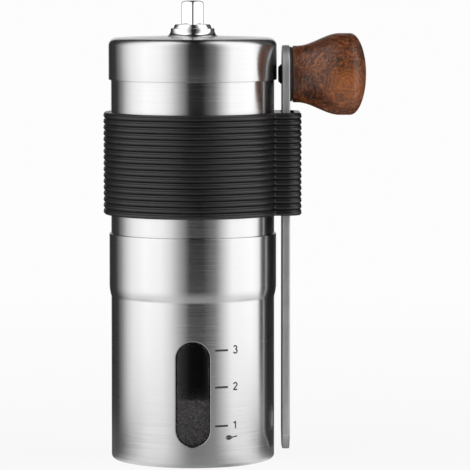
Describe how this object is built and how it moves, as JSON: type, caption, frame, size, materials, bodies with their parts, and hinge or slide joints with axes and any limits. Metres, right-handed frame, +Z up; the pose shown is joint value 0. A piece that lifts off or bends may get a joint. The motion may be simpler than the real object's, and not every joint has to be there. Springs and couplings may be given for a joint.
{
  "type": "hand crank coffee grinder",
  "caption": "Slim cylindrical steel hand coffee grinder with a stowed crank, a wooden knob, a ribbed silicone grip and a window in its grounds cup.",
  "frame": {"origin": "centre of the cup's base on the grinder's axis, the plane it stands on", "axes": "+Z up along the grinder's axis; -Y towards the sight window in the cup; +X towards the stowed crank and its knob"},
  "size_m": [0.0755, 0.0514, 0.1321],
  "materials": {
    "body_steel": "fine circumferential brush",
    "arm_steel": "satin tumbled",
    "chrome": "polished",
    "fastener_steel": "turned",
    "silicone": "matt silicone",
    "black_plastic": "moulded, fine texture",
    "bush_plastic": "smooth",
    "smoke_window": "smoked clear plastic",
    "burr_ceramic": "sintered, unglazed",
    "brass": "turned",
    "black_screw": "black oxide",
    "knob_wood": "stained and satin lacquered"
  },
  "bodies": {
    "cup": {"cup_shell": "body_steel", "cup_liner": "black_plastic", "window_pane": "smoke_window"},
    "hopper": {"hopper_tube": "body_steel", "grip_sleeve": "silicone", "upper_bracket": "black_plastic", "upper_bush": "bush_plastic", "burr_housing": "black_plastic", "lower_bush": "bush_plastic", "outer_burr": "burr_ceramic", "burr_retainer": "black_plastic", "retainer_screws": "fastener_steel"},
    "lid": {"lid_shell": "body_steel", "lid_liner": "black_plastic", "lid_boss": "chrome", "boss_nut": "fastener_steel"},
    "shaft": {"drive_shaft": "fastener_steel", "shaft_head": "chrome", "head_pin": "fastener_steel", "shaft_clip": "fastener_steel", "shaft_washers": "fastener_steel", "burr_spring": "fastener_steel"},
    "burr": {"inner_burr": "burr_ceramic", "burr_core": "black_plastic", "spring_seat": "fastener_steel"},
    "dial": {"adjuster_dial": "black_plastic", "adjuster_nut": "brass"},
    "crank": {"crank_arm": "arm_steel", "knob_screw": "black_screw", "knob_axle": "fastener_steel", "knob_washer": "black_plastic"},
    "knob": {"knob": "knob_wood", "knob_bush": "brass", "knob_plug": "knob_wood"}
  },
  "joints": [
    {"name": "hopper_lift", "type": "slide", "parent": "cup", "child": "hopper", "axis": [0, 0, 1], "range_m": [0, 0.036]},
    {"name": "lid_lift", "type": "slide", "parent": "hopper", "child": "lid", "axis": [0, 0, 1], "range_m": [0, 0.025]},
    {"name": "shaft_spin", "type": "hinge", "parent": "hopper", "child": "shaft", "pos_m": [0, 0, 0.09], "axis": [0, 0, 1], "continuous": true},
    {"name": "burr_slide", "type": "slide", "parent": "shaft", "child": "burr", "axis": [0, 0, 1], "range_m": [-0.0008, 0.0002], "deforming": ["burr_spring"]},
    {"name": "dial_turn", "type": "hinge", "parent": "burr", "child": "dial", "pos_m": [0, 0, 0.0375], "axis": [0, 0, 1], "range_deg": [-360, 90]},
    {"name": "crank_draw", "type": "slide", "parent": "hopper", "child": "crank", "axis": [0, 0, 1], "range_m": [0, 0.105]},
    {"name": "knob_spin", "type": "hinge", "parent": "crank", "child": "knob", "pos_m": [0.04, 0, 0.1109], "axis": [1, 0, 0], "continuous": true}
  ],
  "couplings": [
    {"joint": "dial_turn", "follows": "burr_slide", "rad_per_m": 7854}
  ]
}
